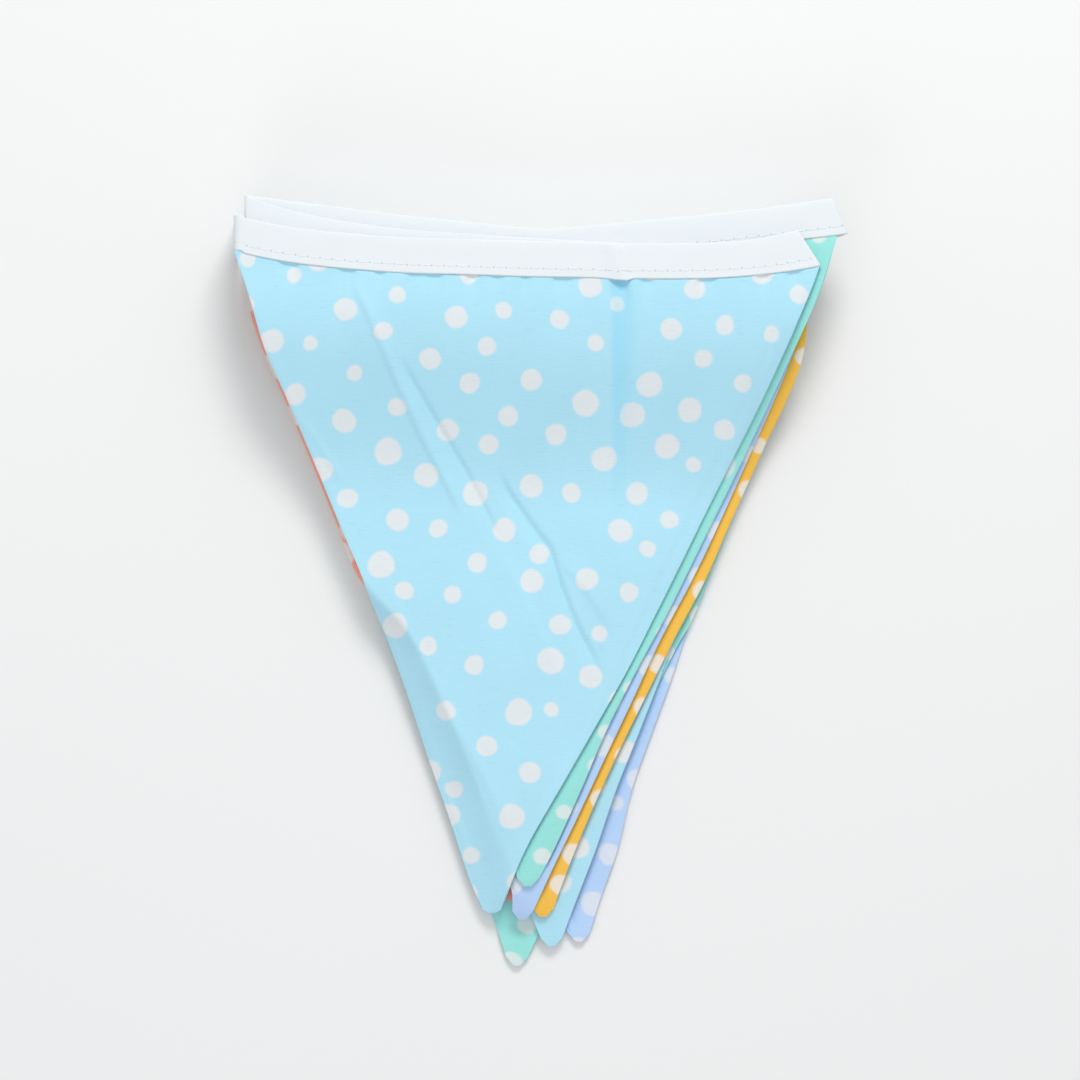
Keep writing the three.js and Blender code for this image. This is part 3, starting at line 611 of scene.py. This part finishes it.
def edge_puff(i, x, y):
    """The right side is puffed up by its seam, from where it comes out from under those above."""
    inner = farthest_right(i, y)
    width = np.clip(side_x(sides_of(i)[1], y) - inner, 0.0, None)
    # Where only a narrow strip shows, the puff is narrower and lower too.
    rise = np.minimum(PUFF["rise"], 0.4 * np.maximum(width, 0.02))
    start = np.minimum(PUFF["start"], 0.15 * width)
    part = np.clip((x - inner - start) / rise, 0, 1)
    return np.minimum(PUFF["height"], 0.3 * width) * np.sin(part * math.pi / 2)


print("creases:", "; ".join(crease["name"] for crease in CREASES))

# %% [markdown]
# ## The pennants
#
# Each pennant starts as a flat grid, the plainest start for a sheet of cloth. Its columns are spread between
# the side edges and its rows between tape and tip, the drape gives each point its height, and Solidify
# gives it thickness. A turned pennant is thickest along its seams, where the allowances lie inside it, so a
# vertex group tells Solidify to make the rim thicker than the middle, and thin inside the tape. The top
# pennant has the finest grid, because its creases show.

# %% Make the pennants
IN_TAPE = 9.5  # how far a pennant reaches up inside the folded tape
INNER_ROWS = 4  # rows of the grid inside the tape
CLOSER = 1.12  # above 1, this brings the rows closer together near the tape, where the small hollows are
FREED = 0.7  # the tape lets go of the cloth over this length
INNER_ENDS = (0.4, 0.6)  # air between the cloth inside the tape and the tape's turns, left and right
SEAM = 4.5  # width of the thicker rim
RIM_THICK = 0.95
MIDDLE_THICK = 0.6
TAPE_THICK = 0.34
RIM_BEVEL = 0.22
TOP_GRID = (208, 214)  # columns and rows
LOWER_GRID = (72, 90)
PRINT_LENGTH = 220.0  # the print follows a pennant's lean over this length
CUT_FROM = (0.3, 0.17)  # the top pennant's place on the printed cloth, in metres
CUT_STEP = (0.31, 0.235)  # and from each pennant's place to the next


def select_only(piece):
    bpy.ops.object.select_all(action="DESELECT")
    piece.select_set(True)
    bpy.context.view_layer.objects.active = piece


def add_grid(name, columns, rows):
    """A flat grid, with each point's column and row."""
    bpy.ops.object.select_all(action="DESELECT")
    bpy.ops.mesh.primitive_grid_add(x_subdivisions=columns, y_subdivisions=rows, size=1.0)
    piece = bpy.context.active_object
    piece.name = name
    piece.data.name = name
    points = np.zeros(len(piece.data.vertices) * 3)
    piece.data.vertices.foreach_get("co", points)
    points = points.reshape(-1, 3)
    column = np.rint((points[:, 0] + 0.5) * columns).astype(int)
    row = np.rint((0.5 - points[:, 1]) * rows).astype(int)
    return piece, column, row


def fill_in(piece, points_mm, cut_m):
    """Gives the mesh its points, in millimetres, and its map, in metres of flat cloth."""
    piece.data.vertices.foreach_set("co", (points_mm * MM).ravel())
    layer = piece.data.uv_layers.active or piece.data.uv_layers.new()
    layer.name = "cut"
    corners = np.zeros(len(piece.data.loops), int)
    piece.data.loops.foreach_get("vertex_index", corners)
    layer.data.foreach_set("uv", cut_m[corners].ravel())
    piece.data.update()


def apply_modifiers(piece):
    select_only(piece)
    for modifier in list(piece.modifiers):
        bpy.ops.object.modifier_apply(modifier=modifier.name)


def thicken(piece, thickness):
    solidify = piece.modifiers.new("cloth thickness", "SOLIDIFY")
    solidify.thickness = thickness * MM
    solidify.offset = 0.0
    return solidify


def face_outwards(piece):
    select_only(piece)
    bpy.ops.object.mode_set(mode="EDIT")
    bpy.ops.mesh.select_all(action="SELECT")
    bpy.ops.mesh.normals_make_consistent(inside=False)
    bpy.ops.object.mode_set(mode="OBJECT")


def dress(piece, material):
    select_only(piece)
    bpy.ops.object.shade_smooth()
    piece.data.materials.append(material)


def pennant_points(i, u, v):
    """Flat place of each point: u across, and v from the tape, at 0, to the tip, at 1."""
    p, run = PENNANTS[i], run_of(i)
    left, right = sides_of(i)
    tip_y = p["tip"][1]
    top_x = left[-1, 0] + (right[-1, 0] - left[-1, 0]) * u
    edge = run_edge(run, top_x)
    y = edge + (tip_y - edge) * np.clip(v, 0, 1)
    x_left, x_right = side_x(left, y), side_x(right, y)
    near_tip = np.clip(1 - (y - tip_y) / TIP_ROUND, 0, 1)
    rounding = TIP_ROUND * (1 - np.sqrt(1 - near_tip ** 2))
    x = (x_left + rounding) + (x_right - x_left - 2 * rounding) * u
    # Inside the tape it keeps clear of the tape's turns, and leans as they do.
    up = np.clip(-v, 0, None)
    start = (run["left"][0] + FOLD_OUT if i else WALL_IN) + INNER_ENDS[0]
    end = run["right"][0] - FOLD_OUT - INNER_ENDS[1]
    inner_x = start + (end - start) * u
    inner_x = inner_x + run["slant"] * smooth(1 - (end - inner_x) / SLANT_REACH) * up
    return x + (inner_x - x) * np.clip(up, 0, 1), y + up, edge


def make_pennant(i, columns, rows):
    p = PENNANTS[i]
    piece, column, row = add_grid(f"cloth_{i + 1:02d}", columns, rows)
    u = column / columns
    v = (row - INNER_ROWS) / (rows - INNER_ROWS)
    v = np.where(v < 0, (row - INNER_ROWS) / INNER_ROWS * IN_TAPE, np.maximum(v, 0) ** CLOSER)
    x, y, edge = pennant_points(i, u, v)
    left, right = (side_x(side, y) for side in sides_of(i))
    in_tape = np.clip((y - edge) / FREED + 1, 0, 1)
    free = 1 - in_tape
    z = drape(i, x, y) + free * soft_waves(x, y, seed=20 + i, size=60.0, height=0.12)
    hollows = scallops(x, edge - y, seed=40 + i)
    if i == 0:
        z = z + free * hollows
        waves = soft_waves(x, y, seed=7, size=45.0, height=0.18)
        z = z + free * (lift_at(x, y, edge, right) + crease_relief(x, y) + tuck_relief(x, y) + waves)
    else:
        z = z + free * (hollows + edge_puff(i, x, y))
    rim = np.minimum(np.minimum(x - left, right - x), y - p["tip"][1])
    thick = MIDDLE_THICK + (RIM_THICK - MIDDLE_THICK) * smooth(1 - rim / SEAM)
    thick = thick + (TAPE_THICK - thick) * in_tape

    lean = math.atan2(p["tip"][0] - (x.min() + x.max()) / 2, PRINT_LENGTH)
    flat_x = (x - p["tip"][0]) * math.cos(lean) + (y - p["tip"][1]) * math.sin(lean)
    flat_y = (y - p["tip"][1]) * math.cos(lean) - (x - p["tip"][0]) * math.sin(lean)
    flat_x = flat_x + p.get("shift", 0.0)
    cut_x = flat_x * MM + CUT_STEP[0] * i + CUT_FROM[0]
    cut_y = flat_y * MM + CUT_STEP[1] * i + CUT_FROM[1]
    fill_in(piece, np.stack([x, y, z], axis=1), np.stack([cut_x, cut_y], axis=1))

    if i == 0:
        # Painted shade of the tuck's channel, from 0 to 1 at each point, for the material.
        shade_in_tuck = piece.data.attributes.new("painted_tuck_shade", "FLOAT", "POINT")
        shade_in_tuck.data.foreach_set("value", tuck_shade_amount(x, y))
    group = piece.vertex_groups.new(name="thickness")
    for index, value in enumerate(thick / RIM_THICK):
        group.add([index], float(value), "REPLACE")
    thicken(piece, RIM_THICK).vertex_group = "thickness"
    bevel = piece.modifiers.new("rounded rim", "BEVEL")
    bevel.width = RIM_BEVEL * MM
    bevel.segments = 2
    bevel.angle_limit = math.radians(60)
    apply_modifiers(piece)
    face_outwards(piece)
    dress(piece, cottons[p["cloth"]])
    return piece


pennants = [make_pennant(i, *(LOWER_GRID if i else TOP_GRID)) for i in range(len(PENNANTS))]
print("faces in the pennants:", sum(len(p.data.polygons) for p in pennants))

# %% [markdown]
# ## The tape
#
# The tape is one band, folded lengthwise over the pennants' top edges, so its section is a narrow U that
# opens downwards. That U is carried along the whole back-and-forth path: a run over each pennant, a U-turn
# at the right, a bare run back under it, a U-turn at the left, and so on. The two free ends lie at the
# bottom, and the upper one comes round the left side of the stack.

# %% The path of the tape
STEP_SHOWN = 1.2  # from row to row on the runs that show
STEP_HIDDEN = 7.0  # and on those that don't
TURN_STEPS = 8
END_SHORT = 6  # the lower free end stops this far before the fold


def tape_path():
    """Rows of x, height, lower edge, tilt and lean, all along the tape."""
    path = []

    def run(r, layer, rightwards, start, end, step):
        xs = np.linspace(start, end, max(2, round((end - start) / step)))
        tilt = 0.0 if rightwards else math.pi
        for x in xs if rightwards else xs[::-1]:
            lean = r["slant"] * float(smooth(1 - (end - x) / SLANT_REACH))
            path.append((x, layer_height(layer), float(run_edge(r, x)), tilt, lean))

    def fold(x, layer, edge, lean, side):
        for a in np.linspace(0, math.pi, TURN_STEPS + 1)[1:-1]:
            tilt = a if side > 0 else math.pi - a
            z = layer_height(layer) - FOLD_RADIUS + FOLD_RADIUS * math.cos(a)
            path.append((x + side * FOLD_RADIUS * math.sin(a), z, edge, tilt, lean))

    def quarter(middle, start):
        for a in np.linspace(start, start + math.pi / 2, TURN_STEPS):
            x = WALL_X + WALL_BEND + WALL_BEND * math.sin(a)
            path.append((x, middle + WALL_BEND * math.cos(a), PENNANTS[0]["tape_left"][1], a, 0.0))

    under = run_of(LAST)
    bottom = dict(under, left=PENNANTS[0]["tape_left"])
    left_end, right_end = under["left"][0] + FOLD_OUT, under["right"][0] - FOLD_OUT
    run(bottom, 1, True, left_end, right_end, STEP_HIDDEN)
    fold(right_end, 1, bottom["right"][1], bottom["slant"], 1)
    run(bottom, 0, False, WALL_IN, right_end, STEP_HIDDEN)
    quarter(layer_height(0) + WALL_BEND, math.pi)
    quarter(layer_height(tape_layer(0)) - WALL_BEND, 1.5 * math.pi)
    for i in range(len(PENNANTS)):
        r = run_of(i)
        step = STEP_SHOWN if i < 2 else STEP_HIDDEN
        start, end = (r["left"][0] + FOLD_OUT if i else WALL_IN), r["right"][0] - FOLD_OUT
        run(r, tape_layer(i), True, start, end, step)
        fold(end, tape_layer(i), r["right"][1], r["slant"], 1)
        below = run_of(i + 1) if i < LAST else under
        back = dict(left=below["left"], right=r["right"], sag=(r["sag"] + below["sag"]) / 2,
                    flat=max(r["flat"], below["flat"]), slant=r["slant"])
        back_start = back["left"][0] + FOLD_OUT
        run(back, tape_layer(i) - 1, False, back_start, end, STEP_HIDDEN)
        fold(back_start, tape_layer(i) - 1, back["left"][1], 0.0, -1)
    run(dict(under, slant=0.0), END_RUNS - 2, True, left_end, right_end - END_SHORT, STEP_HIDDEN)
    return np.array(path)


path = tape_path()
steps = np.hypot(np.hypot(np.diff(path[:, 0]), np.diff(path[:, 1])), np.diff(path[:, 2]))
along_tape = np.concatenate([[0.0], np.cumsum(steps)])
print("tape laid out:", round(along_tape[-1] / 1000, 2), "m in", len(path), "steps")

# %% [markdown]
# The U section is written as places across the tape: how far up from the lower edge, and how far out from
# the middle of its thickness. Small waves move the front wall a little, because a sewn tape never lies
# quite flat. At the tuck the top run steps over itself: it rises slowly from the left, drops at once at the
# right, and its lower edge dips there too.

# %% Shape the tape
WALL = 0.28  # thickness of one wall of the U
WALL_OUT = (CLOTH - WALL) / 2
FOLD_TOP = TAPE_WIDTH - CLOTH / 2  # where the section starts to bend over
FRONT_AT = (0.0, 0.5, 1.6, 2.6, 3.8, 5.4, 7.2, 9.0, FOLD_TOP)  # places up the front wall
RELIEF = (-0.02, 0.9)  # the least and the most that the front wall moves out
UNDER_MOST = 0.1  # and the most on a run that lies under another one
STEP = dict(lean=0.35, rise=8.0, drop=1.3, height=0.85)
DIP = dict(left=17.0, width=11.0, drop=1.2, depth=0.7)
LEVEL = 0.01  # a tilt or a height below this counts as none


def tape_section():
    front = [(s, WALL_OUT) for s in FRONT_AT]
    bend = np.linspace(0, math.pi, 7)[1:-1]
    over = [(FOLD_TOP + WALL_OUT * math.sin(a), WALL_OUT * math.cos(a)) for a in bend]
    back = [(s, -n) for s, n in reversed(front)]
    return np.array(front + over + back)


def tape_relief(x, s, top_run):
    """How far the front wall stands out, with the lower edge freer than the fold."""
    free = 1 - s / TAPE_WIDTH
    out = soft_waves(x, s * 3, seed=90, size=26.0, height=0.16) * (0.35 + free)
    past = x - (TUCK["right"] - STEP["lean"] * s)
    step = smooth((past + STEP["rise"]) / STEP["rise"]) * (1 - smooth(past / STEP["drop"]))
    return np.clip(np.where(top_run, out + STEP["height"] * step, out * 0.5), *RELIEF)


def edge_dip(x):
    """How far the top run's lower edge hangs lower at the tuck."""
    past = (x - TUCK["right"]) / DIP["drop"]
    return DIP["depth"] * smooth((x - DIP["left"]) / DIP["width"]) * (1 - smooth(past))


def make_tape():
    section = tape_section()
    piece, column, row = add_grid("folded_tape", len(path) - 1, len(section) - 1)
    x, z, edge, tilt, lean = path[column].T
    s, n = section[row].T
    face_up = tilt < LEVEL
    top_run = (z > layer_height(tape_layer(0)) - LEVEL) & face_up
    front = n > 0.05
    n = n + np.where(front & face_up, tape_relief(x, s, top_run), 0)
    n = np.where(top_run | ~front, n, np.clip(n, None, WALL_OUT + UNDER_MOST))
    edge = edge + soft_waves(x, z, seed=91, size=30.0, height=0.25)
    edge = edge - np.where(top_run, edge_dip(x), 0.0)
    height = np.maximum(z + np.cos(tilt) * n, WALL / 2 + 0.01)
    points = np.stack([x + lean * s + np.sin(tilt) * n, edge + s, height], axis=1)
    lengths = np.hypot(*np.diff(section, axis=0).T)
    across = np.concatenate([[0.0], np.cumsum(lengths)])
    across = across * (2 * TAPE_WIDTH / across[-1])
    cut = np.stack([along_tape[column] * MM, across[row] * MM], axis=1)
    fill_in(piece, points, cut)
    thicken(piece, WALL)
    apply_modifiers(piece)
    face_outwards(piece)
    dress(piece, tape_cloth)
    return piece


tape = make_tape()
print("faces in the tape:", len(tape.data.polygons))

# %% [markdown]
# ## The stitches
#
# A machine stitch lies in the cloth as a row of short bars of thread, each dipping into its two holes. One
# bar is a stretched sphere with few faces. It is copied along the stitch line, on the front of the tape,
# wherever the tape lies flat, and all the copies are joined as one piece. On the runs that lie face down the
# front is the underside.

# %% Sew the stitch line
BAR = dict(length=3.0, width=0.42)
SUNK = 0.06  # how deep the middle of a bar lies in the cloth


def make_stitches():
    bpy.ops.object.select_all(action="DESELECT")
    bpy.ops.mesh.primitive_uv_sphere_add(segments=6, ring_count=6, radius=0.5)
    bar = bpy.context.active_object
    bar.scale = (BAR["length"] * MM, BAR["width"] * MM, BAR["width"] * MM)
    bpy.ops.object.transform_apply(location=True, rotation=True, scale=True)
    top_z = layer_height(tape_layer(0))
    s = STITCH_IN / MM
    copies = []
    for mark in np.arange(STITCH / MM / 2, along_tape[-1], STITCH / MM):
        x, z, edge, tilt, lean = (np.interp(mark, along_tape, path[:, k]) for k in range(5))
        ahead = np.interp(mark + 1, along_tape, path[:, 2]) - edge
        if min(tilt, abs(tilt - math.pi)) >= 0.001:
            continue  # the tape is turning here
        up = 1 if tilt < 1 else -1
        stand = WALL_OUT + WALL / 2 - SUNK
        if abs(z - top_z) < LEVEL:
            stand = stand + float(tape_relief(x, s, True))
        copy = bar.copy()
        copy.data = bar.data.copy()
        bpy.context.collection.objects.link(copy)
        copy.location = Vector((x + lean * s, edge + s, max(z + up * stand, BAR["width"] / 2))) * MM
        copy.rotation_euler = (0, 0, math.atan2(ahead, up))
        copies.append(copy)
    bpy.ops.object.select_all(action="DESELECT")
    for copy in copies:
        copy.select_set(True)
    bpy.context.view_layer.objects.active = copies[0]
    bpy.data.objects.remove(bar)
    bpy.ops.object.join()
    bpy.ops.object.transform_apply(location=True, rotation=True, scale=True)
    piece = bpy.context.active_object
    piece.name = "stitches"
    dress(piece, thread)
    return piece


stitches = make_stitches()
print("faces in the stitches:", len(stitches.data.polygons))

# %% [markdown]
# ## Tie the cloth to the frame
#
# Nothing in a bunting turns or slides, so every piece rides on the one body. Each pennant and the tape stand
# for their plain solids, which are hidden.

# %% Ride and replace
for i, piece in enumerate(pennants):
    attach(piece, "root")
    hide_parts(f"pennant_{i + 1:02d}")
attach(tape, "root")
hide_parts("tape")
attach(stitches, "root")
print("pieces tied:", len(pennants) + 2)

# %% [markdown]
# ## Studio
#
# The stack lies on a plain pale surface and is seen from straight above, through a long lens, so that edges
# stay true. The main light stands beyond the top of the picture, so the tape casts its shadow down on the
# cloth and every crease has a lit side and a shaded side. A weak light from the lower left, a wide one
# overhead and the pale surroundings keep the shaded sides open.

# %% Floor, lights and camera
FLOOR_COLOURS = ("#f0f1f1", "#f3f3f3")
LIGHTS = [  # name, place and width in metres, power in watts, colour
    ("key", (0.17, 1.08, 1.05), 0.5, 10.6, "#fffdf9"),
    ("fill", (-0.5, -1.0, 0.8), 0.8, 2.2, "#ffffff"),
    ("overhead", (0.0, 0.0, 1.9), 1.6, 4.4, "#ffffff"),
]
WORLD_COLOUR = "#fafcff"
WORLD_STRENGTH = 0.55
VIEW_WIDTH = 0.3495  # what the picture's width covers, in metres
LENS_FAR = 3.0
SENSOR = 36.0
AIM = Vector((-0.0003, 0.0136, 0.015))  # the middle of the picture


def add_light(name, place, size, energy, colour):
    bpy.ops.object.select_all(action="DESELECT")
    bpy.ops.object.light_add(type="AREA", location=place)
    light = bpy.context.active_object
    light.name = name
    light.rotation_euler = (-Vector(place)).to_track_quat("-Z", "Y").to_euler()
    light.data.size = size
    light.data.energy = energy
    light.data.color = linear(colour)[:3]


bpy.ops.object.select_all(action="DESELECT")
bpy.ops.mesh.primitive_plane_add(size=6.0, location=(0, 0, -0.0001))
floor = bpy.context.active_object
floor.name = "pale_table"
floor_material, floor_tree = new_material("matt white laminate")
mottle = add_node(floor_tree, "ShaderNodeTexNoise", inputs={"Scale": 3.0},
                  links={"Vector": add_node(floor_tree, "ShaderNodeTexCoord").outputs["Object"]})
floor_colour = add_node(floor_tree, "ShaderNodeMix", links={"Factor": mottle.outputs["Fac"]},
                        inputs=two_colours(*FLOOR_COLOURS), data_type="RGBA")
finish_surface(floor_tree, {"Base Color": floor_colour.outputs["Result"]}, roughness=0.9, sheen=0.0)
floor.data.materials.append(floor_material)

for light in LIGHTS:
    add_light(*light)
world = bpy.data.worlds.new("pale studio")
world.use_nodes = True
world.node_tree.nodes["Background"].inputs["Color"].default_value = linear(WORLD_COLOUR)
world.node_tree.nodes["Background"].inputs["Strength"].default_value = WORLD_STRENGTH
bpy.context.scene.world = world
bpy.context.scene.view_settings.view_transform = "Standard"

camera_data = bpy.data.cameras.new("camera")
camera_data.sensor_width = SENSOR
camera_data.lens = SENSOR * LENS_FAR / VIEW_WIDTH
camera_data.clip_end = 20.0
camera = bpy.data.objects.new("camera", camera_data)
bpy.context.collection.objects.link(camera)
camera.location = AIM + Vector((0, 0, LENS_FAR))
bpy.context.scene.camera = camera
print("lens:", round(camera_data.lens), "mm")
